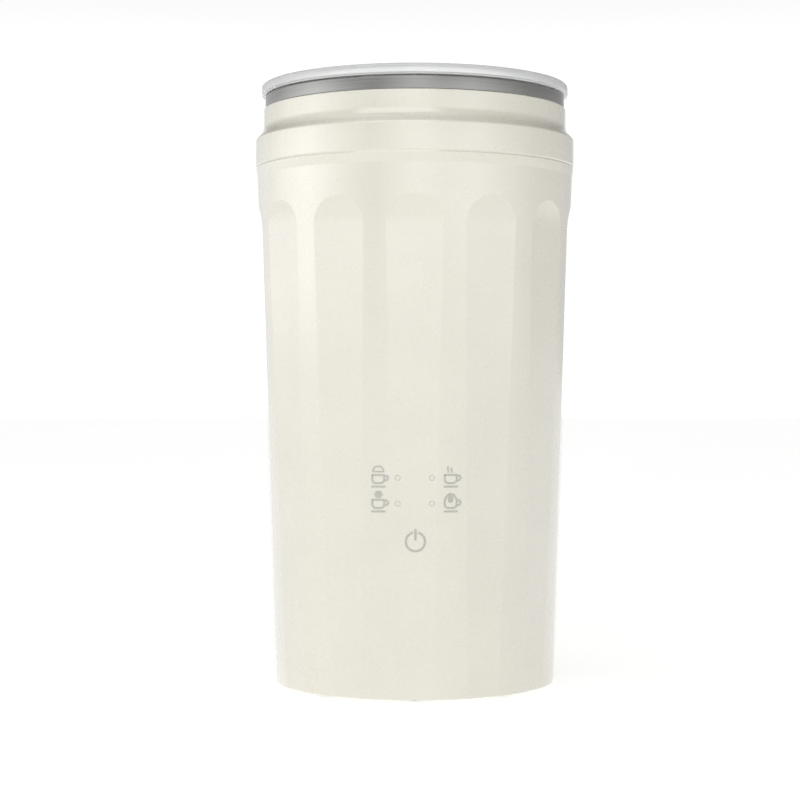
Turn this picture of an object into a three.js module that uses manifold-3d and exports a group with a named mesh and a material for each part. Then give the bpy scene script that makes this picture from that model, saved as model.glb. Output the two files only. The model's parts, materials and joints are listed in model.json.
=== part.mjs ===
// A tall electric milk frother: a cream body with thirteen flat flutes, a stainless cup under a clear
// push-in lid, a whisk turned by magnets through the cup's floor, and the heater, motor and boards
// below.
// Millimetres, +Z up. The origin is the centre of the footprint on the table; the front is -Y.

import * as THREE from "three";
import { mergeVertices } from "three/addons/utils/BufferGeometryUtils.js";
import Module from "manifold-3d";

const wasm = await Module();
wasm.setup();

// ---- Driving dimensions ----

const TOP_Z = 187; // flat top of the lid, the whole height
const BAND_R = 50; // shoulder band, the widest ring
const GAP = 0.3; // between pieces that touch on the real object

const FLUTES = 13;
const RIB_R = 43.87; // round ribs between the flutes, at z = 0
const RIB_TAPER = 0.036; // growth of the ribs' radius per mm of height
const FLUTE_R = 43.56; // distance of each flat from the axis, at z = 0
const FLUTE_TAPER = 0.033;
const ARCH_R = 8.5; // half-round top of each flute
const ARCH_SPRING_Z = 140.6; // where the arch starts
const WALL = 2.3;

const BODY_BOTTOM_Z = 1.2;
const FLARE_Z = 158.2; // the wall leans out from here up to the band
const BAND_BOTTOM_Z = 162.2;
const BAND_TOP_Z = 170;
const COLLAR_R = 47.45;
const COLLAR_BOTTOM_Z = 174.6;
const COLLAR_TOP_Z = 179.6;
const LEDGE_Z = 170; // inside the body, carries the ring that the cup hangs on
const LEDGE_R = 44.5;
const SEAT_R = [43.9, 45.2];
const SEAT_TOP_Z = 181.3;

const RIM_R = 46.9; // steel band
const RIM_TOP_Z = 183.6;
const RIM_BOTTOM_Z = 179.9;
const CUP_WALL = 0.9;
const CUP_TOP_R = 42.2; // inner radius just under the rim
const CUP_LOW_R = 38.6; // inner radius just above the floor's corner
const CUP_FLOOR_Z = 87; // upper side of the floor
const CUP_CORNER_R = 6;

const LID_R = 48.1;
const LID_UNDER_Z = 184.5; // underside of the flange
const DISH_TOP_R = 39.2;
const DISH_FLOOR_R = 37.8;
const DISH_FLOOR_Z = 180.6;

const COVER_R = 40.9;
const COVER_Z = [1.8, 4.4];
const FOOT_RING_R = 32.3;
const SCREW_RING_R = 36.4;
const BOSS_R = 3.4;
const BOSS_Z = [4.7, 20];

const INLET_Z = 17;
const INLET_BODY = [20.8, 14.8]; // width and height behind the flange
const INLET_FLANGE = [25, 19];
const INLET_MOUTH = [16, 10.5];
const INLET_FLANGE_Y = [44.8, 46.4];
const LANDING = [28, 22]; // flat place on the body that the flange sits on
const INLET_BACK_Y = 27;
const INLET_FLOOR_Y = 31.4; // bottom of the socket
const PIN_TIP_Y = 40.8;
const PIN_TAIL_Y = 23;
const PIN_R = 1.15;
const PIN_PLACES = [
  [-4.6, -1.6],
  [4.6, -1.6],
  [0, 2],
];

const LIGHT_X = 5;
const LIGHT_ROWS_Z = [66.4, 58.9];
const KEY_X = 10.6;
const KEY_ROWS_Z = [66.7, 59.6];
const POWER_KEY_Z = 48;
const TOUCH_BOARD_Y = [-37.6, -36];
const TOUCH_BOARD_Z = [40, 76];

const POWER_BOARD_Z = [29, 30.6];
const POWER_BOARD_R = 39;

const LEGS = 3;
const LEG_RING_R = 26;
const LEG_R = 3.2;
const PLATE_Z = [71.5, 74];
const PLATE_R = 32;

const MOTOR_R = 13.85;
const MOTOR_Z = [35, 70];
const SHAFT_R = 1.15;
const MOTOR_SCREW_X = 8;

const DISC_R = 12.5;
const DISC_Z = [79.5, 84.5];
const MAGNET_X = 7;
const MAGNET_R = 2.4;
const DRIVE_MAGNET_Z = [81.6, 84.3];
const WHISK_MAGNET_Z = [89.9, 93];

const HEATER_R = [14.5, 33];
const ELEMENT_R = 25;
const ELEMENT_Z = 80.9;
const ELEMENT_ROD_R = 2.9;

const SPINDLE_R = 1.5;
const SPINDLE_TOP_Z = 101;
const HUB_R = 11;
const HUB_Z = [89.6, 95.4];
const COIL_R = 14.4; // centre line of the wire coil round the hub
const COIL_TURN_R = 2.6;
const COIL_TURNS = 22;
const COIL_Z = 92.5;
const WIRE_R = 0.45;
const RING_COIL_SHARE = 0.99; // of a full circle: the coil's two ends stop just short of each other

// Flat sides that stand for a full circle: on the body, on the other wide pieces, on the pieces
// round the motor, and on pins and screws.
const BODY_SIDES = FLUTES * 3;
const WIDE_SIDES = 36;
const INNER_SIDES = 24;
const SMALL_SIDES = 12;
const WELD = 1e-4;

// ---- Shapes ----

// Points of an arc, angles in degrees, anticlockwise when the end is the larger.
function arc(centreR, centreZ, radius, from, to, steps) {
  return Array.from({ length: steps + 1 }, (_, i) => {
    const angle = THREE.MathUtils.degToRad(from + ((to - from) * i) / steps);
    return [centreR + radius * Math.cos(angle), centreZ + radius * Math.sin(angle)];
  });
}

// A solid of revolution about Z. The outline lists [radius, height] anticlockwise, with the radius to
// the right, and closes on itself unless it starts and ends on the axis.
function turned(outline, sides = INNER_SIDES) {
  const points = outline.map(([r, z]) => new THREE.Vector2(r, z));
  const endsOnAxis = outline[0][0] === 0 && outline.at(-1)[0] === 0;
  if (!endsOnAxis) points.push(points[0].clone());
  return new THREE.LatheGeometry(points, sides).rotateX(Math.PI / 2);
}

function tube(innerR, outerR, [low, high], sides = INNER_SIDES) {
  return turned([[innerR, low], [outerR, low], [outerR, high], [innerR, high]], sides);
}

function rodZ(radius, [low, high], sides = SMALL_SIDES) {
  return new THREE.CylinderGeometry(radius, radius, high - low, sides)
    .rotateX(Math.PI / 2)
    .translate(0, 0, (low + high) / 2);
}

function rodY(radius, [near, far], sides = SMALL_SIDES) {
  return new THREE.CylinderGeometry(radius, radius, far - near, sides)
    .translate(0, (near + far) / 2, 0);
}

function block([x0, x1], [y0, y1], [z0, z1]) {
  return new THREE.BoxGeometry(x1 - x0, y1 - y0, z1 - z0)
    .translate((x0 + x1) / 2, (y0 + y1) / 2, (z0 + z1) / 2);
}

function roundedRectangle(width, height, corner) {
  const [x, y] = [width / 2 - corner, height / 2 - corner];
  const shape = new THREE.Shape();
  shape.absarc(x, y, corner, 0, Math.PI / 2);
  shape.absarc(-x, y, corner, Math.PI / 2, Math.PI);
  shape.absarc(-x, -y, corner, Math.PI, 1.5 * Math.PI);
  shape.absarc(x, -y, corner, 1.5 * Math.PI, 2 * Math.PI);
  return shape;
}

// A flat outline in X and Z, made solid between two depths along Y.
function slabY(shape, [near, far], curveSegments = 3) {
  return new THREE.ExtrudeGeometry(shape, { depth: far - near, bevelEnabled: false, curveSegments })
    .rotateX(Math.PI / 2)
    .translate(0, far, 0);
}

// A round bar along a curve. The section has few sides, because the bars are thin.
function bar(path, radius, steps, sides) {
  const section = new THREE.Shape(
    Array.from({ length: sides }, (_, i) => {
      const angle = (2 * Math.PI * i) / sides;
      return new THREE.Vector2(radius * Math.cos(angle), radius * Math.sin(angle));
    }),
  );
  return new THREE.ExtrudeGeometry(section, { extrudePath: path, steps, bevelEnabled: false });
}

function smoothPath(points) {
  return new THREE.CatmullRomCurve3(points.map(([x, y, z]) => new THREE.Vector3(x, y, z)));
}

// ---- Joining and cutting ----

function solid(geometry) {
  const bare = geometry.index ? geometry.toNonIndexed() : geometry.clone();
  bare.deleteAttribute("normal");
  bare.deleteAttribute("uv");
  const merged = mergeVertices(bare, WELD);
  return new wasm.Manifold(
    new wasm.Mesh({
      numProp: 3,
      vertProperties: merged.attributes.position.array,
      triVerts: new Uint32Array(merged.index.array),
    }),
  );
}

function geometryOf(made) {
  const { vertProperties, triVerts } = made.getMesh();
  return new THREE.BufferGeometry()
    .setAttribute("position", new THREE.BufferAttribute(vertProperties, 3))
    .setIndex(new THREE.BufferAttribute(triVerts, 1));
}

function join(...geometries) {
  return geometryOf(geometries.map(solid).reduce((sum, next) => sum.add(next)));
}

function cut(geometry, ...tools) {
  return geometryOf(tools.map(solid).reduce((left, tool) => left.subtract(tool), solid(geometry)));
}

// ---- Places round the axis ----

// The same geometry at equal steps round Z; the first stands at the given angle in degrees.
function around(count, firstDegrees, make) {
  return Array.from({ length: count }, (_, i) => {
    const angle = THREE.MathUtils.degToRad(firstDegrees) + (2 * Math.PI * i) / count;
    return make(angle);
  });
}

function polar(radius, angle) {
  return [radius * Math.cos(angle), radius * Math.sin(angle), 0];
}

// ---- Finishes ----

const finish = (color, roughness, metalness = 0) =>
  new THREE.MeshStandardMaterial({ color, roughness, metalness });

const CREAM = finish(0xefebda, 0.45);
const CLEAR = new THREE.MeshStandardMaterial({
  color: 0xe9eeee,
  roughness: 0.08,
  metalness: 0,
  transparent: true,
  opacity: 0.45,
});
const STEEL = finish(0xa9a9a7, 0.32, 1);
const SILICONE = finish(0xd9d9d4, 0.6);
const RUBBER = finish(0x2a2a2a, 0.85);
const DARK_PLASTIC = finish(0x3a3a3c, 0.55);
const PALE_PLASTIC = finish(0xdcdcd6, 0.5);
const BRASS = finish(0xb99a55, 0.35, 1);
const BOARD = finish(0x2f5d3a, 0.6);
const ALUMINIUM = finish(0xb8babc, 0.45, 1);
const MAGNET = finish(0x8c8f92, 0.3, 1);
const CORE = finish(0x7a4a2a, 0.5, 0.6);

const model = new THREE.Group();

function add(name, geometry, material, [x, y, z] = [0, 0, 0]) {
  const mesh = new THREE.Mesh(geometry, material);
  mesh.name = name;
  mesh.position.set(x, y, z);
  model.add(mesh);
}

// ---- Lid ----

// Flange with rounded edges, a small lip under it, a plug with a groove for the seal, and a dish on top.
function lidShell() {
  return turned(
    [
      [0, 178.4],
      [38.6, 178.4],
      [38.6, 177.2],
      [41, 177.2],
      [41, 179.9],
      [39.7, 179.9],
      [39.7, 182.7],
      [41.2, 182.7],
      [41.2, LID_UNDER_Z],
      [45.6, LID_UNDER_Z],
      [45.6, RIM_TOP_Z + GAP],
      [47.4, RIM_TOP_Z + GAP],
      [47.4, LID_UNDER_Z],
      ...arc(LID_R - 0.5, LID_UNDER_Z + 0.5, 0.5, -90, 0, 1),
      ...arc(LID_R - 0.7, TOP_Z - 0.7, 0.7, 0, 90, 2),
      [DISH_TOP_R, TOP_Z],
      [DISH_FLOOR_R, DISH_FLOOR_Z],
      [0, DISH_FLOOR_Z],
    ],
    WIDE_SIDES,
  );
}

// The straight bar across the dish that the fingers lift the lid by.
function lidBar() {
  const [halfLength, halfWidth, crown] = [39.2, 5, 186.6];
  const section = new THREE.Shape();
  section.moveTo(-halfWidth - 1, 179.5);
  section.lineTo(halfWidth + 1, 179.5);
  section.lineTo(halfWidth, crown - 1.5);
  section.quadraticCurveTo(halfWidth, crown, halfWidth - 1.5, crown);
  section.lineTo(1.5 - halfWidth, crown);
  section.quadraticCurveTo(-halfWidth, crown, -halfWidth, crown - 1.5);
  return slabY(section, [-halfLength, halfLength]).rotateZ(Math.PI / 2);
}

add("lid", join(lidShell(), lidBar()), CLEAR);
add(
  "lid_seal",
  turned([[40, 180.2], [41.3, 180.2], [41.9, 181.3], [41.3, 182.4], [40, 182.4]], WIDE_SIDES),
  SILICONE,
);

// ---- Cup ----

// Spun steel: a flat floor, a round corner, a flaring wall, and a rim rolled out and turned down.
function cup() {
  const corner = CUP_FLOOR_Z + CUP_CORNER_R;
  const outerCorner = CUP_CORNER_R + CUP_WALL;
  const cornerR = CUP_LOW_R - CUP_CORNER_R;
  return turned(
    [
      [0, CUP_FLOOR_Z - CUP_WALL],
      ...arc(cornerR, corner, outerCorner, -90, 0, 4),
      [CUP_TOP_R + CUP_WALL, RIM_TOP_Z - CUP_WALL],
      [RIM_R - CUP_WALL, RIM_TOP_Z - CUP_WALL],
      [RIM_R - CUP_WALL, RIM_BOTTOM_Z],
      [RIM_R, RIM_BOTTOM_Z],
      ...arc(RIM_R - 0.6, RIM_TOP_Z - 0.6, 0.6, 0, 90, 1),
      [CUP_TOP_R + 1, RIM_TOP_Z],
      [CUP_TOP_R, RIM_TOP_Z - 1],
      ...arc(cornerR, corner, CUP_CORNER_R, 0, -90, 4),
      [0, CUP_FLOOR_Z],
    ],
    WIDE_SIDES,
  );
}

function gasket() {
  return tube(...SEAT_R, [SEAT_TOP_Z + GAP, RIM_TOP_Z - CUP_WALL - GAP], WIDE_SIDES);
}

// The pin that the whisk turns on, with a wide foot on the cup's floor.
function spindlePin() {
  const foot = CUP_FLOOR_Z + GAP;
  return turned([
    [0, foot],
    [4, foot],
    [4, foot + 0.9],
    [SPINDLE_R, foot + 1.2],
    [SPINDLE_R, SPINDLE_TOP_Z - 0.4],
    [SPINDLE_R - 0.4, SPINDLE_TOP_Z],
    [0, SPINDLE_TOP_Z],
  ]);
}

add("inner_cup", cup(), STEEL);
add("cup_gasket", gasket(), SILICONE);
add("spindle_pin", spindlePin(), STEEL);

// The cup's rim and gasket stand on this ring, and the ring stands on the body's inner ledge.
add("cup_seat", tube(...SEAT_R, [LEDGE_Z + GAP, SEAT_TOP_Z], WIDE_SIDES), CREAM);

// ---- Fluted body ----

const ribR = (z) => RIB_R + RIB_TAPER * z;
const fluteR = (z) => FLUTE_R + FLUTE_TAPER * z;
const innerR = (z) => fluteR(z) - WALL;

// One moulding from the table to the cup's rim: the ribbed cone, the shoulder band, a 45 degree
// shoulder that sweeps up into the collar, and the ledge inside.
function bodyShell() {
  return turned(
    [
      [innerR(BODY_BOTTOM_Z), BODY_BOTTOM_Z],
      [ribR(BODY_BOTTOM_Z) - 0.7, BODY_BOTTOM_Z],
      [ribR(BODY_BOTTOM_Z), BODY_BOTTOM_Z + 0.7],
      [ribR(FLARE_Z), FLARE_Z],
      [BAND_R, BAND_BOTTOM_Z],
      ...arc(BAND_R - 1, BAND_TOP_Z - 0.4, 1, 0, 45, 2),
      ...arc(COLLAR_R + 1.2, COLLAR_BOTTOM_Z, 1.2, 225, 180, 2),
      [COLLAR_R, COLLAR_TOP_Z - 0.3],
      [COLLAR_R - 0.3, COLLAR_TOP_Z],
      [SEAT_R[1] + GAP, COLLAR_TOP_Z],
      [SEAT_R[1] + GAP, LEDGE_Z],
      [LEDGE_R, LEDGE_Z],
      [LEDGE_R, LEDGE_Z - 2],
      [innerR(BAND_BOTTOM_Z), BAND_BOTTOM_Z],
    ],
    BODY_SIDES,
  );
}

// One flute's cutter: an arch-topped slab whose inner face leans out with the flat.
function fluteCutter() {
  const depth = 5;
  const outline = new THREE.Shape();
  outline.moveTo(-ARCH_R, -depth);
  outline.lineTo(ARCH_R, -depth);
  outline.lineTo(ARCH_R, ARCH_SPRING_Z);
  outline.absarc(0, ARCH_SPRING_Z, ARCH_R, 0, Math.PI);
  return slabY(outline, [-depth, 0], 6)
    .rotateX(Math.atan(FLUTE_TAPER))
    .translate(0, -FLUTE_R, 0);
}

// A screw boss standing off the wall on a web.
function boss(angle) {
  const post = rodZ(BOSS_R, BOSS_Z).translate(SCREW_RING_R, 0, 0);
  const web = block([SCREW_RING_R, 42.2], [-1.2, 1.2], BOSS_Z);
  return join(post, web).rotateZ(angle);
}

function bossHole(angle) {
  return rodZ(1.65, [BOSS_Z[0] - 1, BOSS_Z[1] - 2]).translate(SCREW_RING_R, 0, 0).rotateZ(angle);
}

function lightHoles() {
  return lightPlaces().map(([x, z]) => rodY(1, [-50, -40], 8).translate(x, 0, z));
}

function lightPlaces() {
  return LIGHT_ROWS_Z.flatMap((z) => [[-LIGHT_X, z], [LIGHT_X, z]]);
}

function inletWindow() {
  const [width, height] = INLET_BODY;
  const shape = roundedRectangle(width + 2 * GAP, height + 2 * GAP, 2.3);
  return slabY(shape, [38, 50]).translate(0, 0, INLET_Z);
}

function inletLanding() {
  return slabY(roundedRectangle(...LANDING, 4), [42, INLET_FLANGE_Y[0] - GAP])
    .translate(0, 0, INLET_Z);
}

function flutedBody() {
  const cutters = around(FLUTES, 0, (angle) => fluteCutter().rotateZ(angle));
  const shell = join(cut(bodyShell(), ...cutters), inletLanding(), ...around(4, 45, boss));
  return cut(shell, ...around(4, 45, bossHole), ...lightHoles(), inletWindow());
}

add("fluted_body", flutedBody(), CREAM);

// ---- Light pipes and touch board ----

function lightPipe(z) {
  return rodY(0.75, [-fluteR(z) + 0.05, -39.6], 8);
}

lightPlaces().forEach(([x, z], i) => {
  add(`light_pipe_${i + 1}`, lightPipe(z), CLEAR, [x, 0, z]);
  add(`indicator_led_${i + 1}`, block([-1, 1], [-39.3, -37.9], [-0.7, 0.7]), PALE_PLASTIC, [x, 0, z]);
});

function touchBoard() {
  const board = block([-13.5, 13.5], TOUCH_BOARD_Y, TOUCH_BOARD_Z);
  const chip = block([-4, 4], [-36.2, -34.6], [53, 61]);
  const plug = block([-4.5, 4.5], [-36.2, -34.8], [42, 43.6]);
  return join(board, chip, plug);
}

// A helix about Y, the coil of one touch spring.
class SpringCurve extends THREE.Curve {
  constructor(radius, turns, near, far) {
    super();
    Object.assign(this, { radius, turns, near, far });
  }

  getPoint(t) {
    const angle = 2 * Math.PI * this.turns * t;
    const y = this.near + (this.far - this.near) * t;
    return new THREE.Vector3(this.radius * Math.cos(angle), y, this.radius * Math.sin(angle));
  }
}

function touchSpring() {
  return bar(new SpringCurve(2.2, 3, -40.4, -38.3), 0.3, 21, 3);
}

const KEY_PLACES = [
  ...KEY_ROWS_Z.flatMap((z) => [[-KEY_X, z], [KEY_X, z]]),
  [0, POWER_KEY_Z],
];
KEY_PLACES.forEach(([x, z], i) => {
  add(`touch_spring_${i + 1}`, touchSpring(), STEEL, [x, 0, z]);
});
add("control_board", touchBoard(), BOARD);

// ---- Bottom cover, feet and screws ----

// One air slot of the cover, a radial slit with round ends.
function airSlot(angle) {
  const [inner, outer, halfWidth] = [11, 20, 1.1];
  const shape = new THREE.Shape();
  shape.absarc(outer, 0, halfWidth, -Math.PI / 2, Math.PI / 2);
  shape.absarc(inner, 0, halfWidth, Math.PI / 2, 1.5 * Math.PI);
  return new THREE.ExtrudeGeometry(shape, { depth: 6, bevelEnabled: false, curveSegments: 2 })
    .rotateZ(angle);
}

function coverHole(radius, ringR, span) {
  return (angle) => rodZ(radius, span).translate(ringR, 0, 0).rotateZ(angle);
}

function bottomCover() {
  const [low, high] = COVER_Z;
  const through = [low - 1, high + 1];
  const edge = [[COVER_R - 0.5, low], [COVER_R, low + 0.5], [COVER_R, high]];
  const disc = turned([[0, low], ...edge, [0, high]], WIDE_SIDES);
  return cut(
    disc,
    ...around(8, 22.5, airSlot),
    ...around(4, 0, coverHole(2.3, FOOT_RING_R, through)),
    ...around(4, 45, coverHole(1.7, SCREW_RING_R, through)),
    ...around(4, 45, coverHole(3.3, SCREW_RING_R, [low - 1, low + 1.4])),
  );
}

// A rubber disc with a barbed stem that pushes through the cover.
function foot() {
  const pad = [[0, 0], [3.9, 0], [4.3, 0.4], [4.3, 1.5]];
  const stem = [[2, 1.5], [2, 4.7], [2.7, 4.7], [2, 5.8], [0, 5.8]];
  return turned([...pad, ...stem], SMALL_SIDES);
}

// A pan-head screw driven up from below, with a cross recess in its head.
function coverScrew() {
  const head = [[0, 1.6], [2.2, 1.6], [2.8, 2.1], [2.8, 2.9]];
  const shank = [[1.35, 2.9], [1.35, 15], [0, 16]];
  const [reach, halfWidth, depth] = [1.6, 0.3, [1, 2.4]];
  const slots = [
    block([-reach, reach], [-halfWidth, halfWidth], depth),
    block([-halfWidth, halfWidth], [-reach, reach], depth),
  ];
  return cut(turned([...head, ...shank], SMALL_SIDES), ...slots);
}

add("bottom_cover", bottomCover(), CREAM);
around(4, 0, (angle) => polar(FOOT_RING_R, angle)).forEach((place, i) => {
  add(`foot_${i + 1}`, foot(), RUBBER, place);
});
around(4, 45, (angle) => polar(SCREW_RING_R, angle)).forEach((place, i) => {
  add(`base_screw_${i + 1}`, coverScrew(), STEEL, place);
});

// ---- Mains inlet ----

function inlet() {
  const [front, face] = INLET_FLANGE_Y;
  const flange = slabY(roundedRectangle(...INLET_FLANGE, 3.5), INLET_FLANGE_Y);
  const body = slabY(roundedRectangle(...INLET_BODY, 2), [INLET_BACK_Y, front + 0.5]);
  const mouth = slabY(roundedRectangle(...INLET_MOUTH, 3), [INLET_FLOOR_Y, face + 1]);
  const pinHoles = PIN_PLACES.map(([x, z]) =>
    rodY(PIN_R + GAP, [INLET_BACK_Y - 1, INLET_FLOOR_Y + 1]).translate(x, 0, z),
  );
  return cut(join(flange, body), mouth, ...pinHoles);
}

function inletPin() {
  const taper = 0.6;
  const blade = rodY(PIN_R, [PIN_TAIL_Y, PIN_TIP_Y - taper]);
  const tip = new THREE.CylinderGeometry(PIN_R - 0.5, PIN_R, taper, SMALL_SIDES)
    .translate(0, PIN_TIP_Y - taper / 2, 0);
  return join(blade, tip);
}

add("power_inlet", inlet(), DARK_PLASTIC, [0, 0, INLET_Z]);
PIN_PLACES.forEach(([x, z], i) => {
  add(`inlet_pin_${i + 1}`, inletPin(), BRASS, [x, 0, INLET_Z + z]);
});

// ---- Power board ----

function powerBoard() {
  const [low, high] = POWER_BOARD_Z;
  const disc = rodZ(POWER_BOARD_R, POWER_BOARD_Z, INNER_SIDES);
  const legHoles = around(LEGS, 30, (angle) =>
    rodZ(LEG_R + 0.6, [low - 1, high + 1]).translate(...polar(LEG_RING_R, angle)),
  );
  return cut(disc, ...legHoles);
}

add("power_board", powerBoard(), BOARD);
add("relay", block([-22, -4], [-14, 1], [13, 28.7]), DARK_PLASTIC);
add("filter_capacitor", block([5, 21], [-12, -4], [15, 28.7]), PALE_PLASTIC);

// ---- Motor and its chassis ----

function screwHoles(radius, span) {
  return [-MOTOR_SCREW_X, MOTOR_SCREW_X].map((x) => rodZ(radius, span).translate(x, 0, 0));
}

// A plate on three legs, with a sleeve round the motor and two ledges that hold the touch board.
function chassis() {
  const plate = tube(5.4, PLATE_R, PLATE_Z);
  const sleeve = tube(MOTOR_R + 0.75, MOTOR_R + 2.75, [45, PLATE_Z[0] + 0.5]);
  const legs = around(LEGS, 30, (angle) =>
    rodZ(LEG_R, [4.9, PLATE_Z[0] + 0.5]).translate(...polar(LEG_RING_R, angle)),
  );
  const webs = around(LEGS, 30, (angle) =>
    block([MOTOR_R + 1.5, LEG_RING_R], [-1, 1], [50, PLATE_Z[0] + 0.5]).rotateZ(angle),
  );
  const ledges = [[46, 50], [68, PLATE_Z[0] + 0.5]].map((span) =>
    block([-9, 9], [TOUCH_BOARD_Y[1] + GAP, -LEG_RING_R], span),
  );
  return cut(join(plate, sleeve, ...legs, ...webs, ...ledges), ...screwHoles(1.8, [70, 76]));
}

function motorCan() {
  const [low, high] = MOTOR_Z;
  const shell = turned([
    [12.6, low],
    [MOTOR_R, low],
    [MOTOR_R, high - 1],
    [MOTOR_R - 1, high],
    [5, high],
    [5, high + 1.6],
    [SHAFT_R + 0.35, high + 1.6],
    [SHAFT_R + 0.35, high - 1.5],
    [12.6, high - 1.5],
  ]);
  return cut(shell, ...screwHoles(1.8, [high - 3, high + 1]));
}

function endCap() {
  const shell = turned([[0, 31.8], [13.3, 31.8], [13.3, 34.7], [3, 34.7], [3, 36.2], [0, 36.2]]);
  const tabs = [-9, 9].map((x) => block([x - 1.5, x + 1.5], [-0.4, 0.4], [31, 32.5]));
  return join(shell, ...tabs);
}

function armature() {
  const bore = SHAFT_R + 0.3;
  return turned([[bore, 38], [4, 38], [4, 43.5], [10.6, 43.5], [10.6, 62], [bore, 62]]);
}

function motorScrew() {
  const underHead = PLATE_Z[1] + GAP;
  const shank = [[0, underHead - 8.3], [1.4, underHead - 8.3], [1.4, underHead]];
  const head = [[2.7, underHead], [2.7, underHead + 0.9], [1.8, underHead + 1.8], [0, underHead + 1.8]];
  const slot = block([-1.5, 1.5], [-0.3, 0.3], [underHead + 1, underHead + 2]);
  return cut(turned([...shank, ...head], SMALL_SIDES), slot);
}

function damper() {
  return cut(tube(5.4, 12.5, [70.3, 71.2]), ...screwHoles(1.8, [69, 73]));
}

add("motor_chassis", chassis(), PALE_PLASTIC);
add("motor_can", motorCan(), STEEL);
add("motor_end_cap", endCap(), DARK_PLASTIC);
add("motor_damper", damper(), RUBBER);
add("motor_armature", armature(), CORE);
add("motor_shaft", rodZ(SHAFT_R, [36.5, 82.2]), STEEL);
[-MOTOR_SCREW_X, MOTOR_SCREW_X].forEach((x, i) => {
  add(`motor_screw_${i + 1}`, motorScrew(), STEEL, [x, 0, 0]);
});

// ---- Magnetic drive ----

function magnetPockets(span) {
  return [-MAGNET_X, MAGNET_X].map((x) => rodZ(MAGNET_R + 0.25, span).translate(x, 0, 0));
}

function driveDisc() {
  const [low, high] = DISC_Z;
  const disc = turned([
    [0, 82.5],
    [SHAFT_R + 0.25, 82.5],
    [SHAFT_R + 0.25, low],
    [4, low],
    [4, low + 0.6],
    [DISC_R, low + 0.6],
    [DISC_R, high - 0.5],
    [DISC_R - 0.5, high],
    [0, high],
  ]);
  return cut(disc, ...magnetPockets([DRIVE_MAGNET_Z[0] - GAP, high + 1]));
}

add("drive_disc", driveDisc(), PALE_PLASTIC);
[-MAGNET_X, MAGNET_X].forEach((x, i) => {
  add(`drive_magnet_${i + 1}`, rodZ(MAGNET_R, DRIVE_MAGNET_Z), MAGNET, [x, 0, 0]);
});

// ---- Heater ----

function heaterPlate() {
  const underFloor = CUP_FLOOR_Z - CUP_WALL - GAP;
  return tube(...HEATER_R, [underFloor - 1.5, underFloor]);
}

// A sheathed rod bent into an open ring, with both ends turned down for the leads.
function heatingElement() {
  const [from, to, steps] = [118, 422, 10];
  const ring = Array.from({ length: steps + 1 }, (_, i) => {
    const angle = THREE.MathUtils.degToRad(from + ((to - from) * i) / steps);
    return [ELEMENT_R * Math.cos(angle), ELEMENT_R * Math.sin(angle), ELEMENT_Z];
  });
  const turnedDown = ([x, y]) => [x * 0.84, y * 1.04, ELEMENT_Z - 4];
  return bar(smoothPath([turnedDown(ring[0]), ...ring, turnedDown(ring.at(-1))]), ELEMENT_ROD_R, 32, 8);
}

function thermalCutout() {
  return turned([[0, 76.6], [5.4, 76.6], [5.4, 79.6], [6.4, 79.6], [6.4, 83.8], [0, 83.8]]);
}

function temperatureSensor() {
  return turned([[0, 78], [1.6, 78], [2, 78.6], [2, 83.8], [0, 83.8]], SMALL_SIDES);
}

const heaterLeadPath = smoothPath([
  [15.5, 26, 76],
  [19.5, 30, 73],
  [20.5, 31.5, 66],
  [20, 31.5, 50],
  [18, 30, 38],
  [17, 29, 31.2],
]);

add("heater_plate", heaterPlate(), ALUMINIUM);
add("heating_element", heatingElement(), ALUMINIUM);
add("thermal_cutout", thermalCutout(), DARK_PLASTIC, [0, ELEMENT_R, 0]);
add("temperature_sensor", temperatureSensor(), STEEL, [0, -18, 0]);
add("heater_lead", bar(heaterLeadPath, 1.1, 16, 6), SILICONE);

// ---- Flat cable between the boards ----

function boardCable() {
  const route = smoothPath([[0, -36.8, 39.6], [0, -36.7, 37], [0, -35, 34.2], [0, -34.8, 31.6]]);
  const [halfThickness, halfWidth] = [0.4, 4];
  const section = new THREE.Shape()
    .moveTo(-halfThickness, -halfWidth)
    .lineTo(halfThickness, -halfWidth)
    .lineTo(halfThickness, halfWidth)
    .lineTo(-halfThickness, halfWidth);
  return new THREE.ExtrudeGeometry(section, { extrudePath: route, steps: 10, bevelEnabled: false });
}

add("board_cable", boardCable(), PALE_PLASTIC);

// ---- Whisk ----

function whiskBush() {
  return turned([[0, 101.3], [1.65, 101.3], [1.65, 88.9], [2.6, 88.9], [2.6, 102.6], [0, 102.6]]);
}

// A disc that the coil goes round, and a post that takes the finger grip.
function whiskHub() {
  const [low, high] = HUB_Z;
  const hub = turned([
    [0, 103],
    [2.9, 103],
    [2.9, low],
    [HUB_R - 1, low],
    [HUB_R, low + 1],
    [HUB_R, high - 1.5],
    [HUB_R - 2, high],
    [4.4, high + 1],
    [4.4, 106],
    [0, 106],
  ]);
  return cut(hub, ...magnetPockets([low - 1, WHISK_MAGNET_Z[1] + GAP]));
}

function whiskGrip() {
  return turned([
    [0, 106.3],
    [4.7, 106.3],
    [4.7, 97.2],
    [6, 97.2],
    [5.5, 100],
    [5.5, 104],
    ...arc(5, 109.5, 2.2, -60, 90, 4),
    [0, 111.9],
  ]);
}

// A coil bent into a ring: it circles its centre line, which circles the hub.
class RingCoilCurve extends THREE.Curve {
  getPoint(t) {
    const round = 2 * Math.PI * t * RING_COIL_SHARE;
    const turn = round * COIL_TURNS;
    const r = COIL_R - COIL_TURN_R * Math.cos(turn);
    const z = COIL_Z + COIL_TURN_R * Math.sin(turn);
    return new THREE.Vector3(r * Math.cos(round), r * Math.sin(round), z);
  }
}

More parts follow.
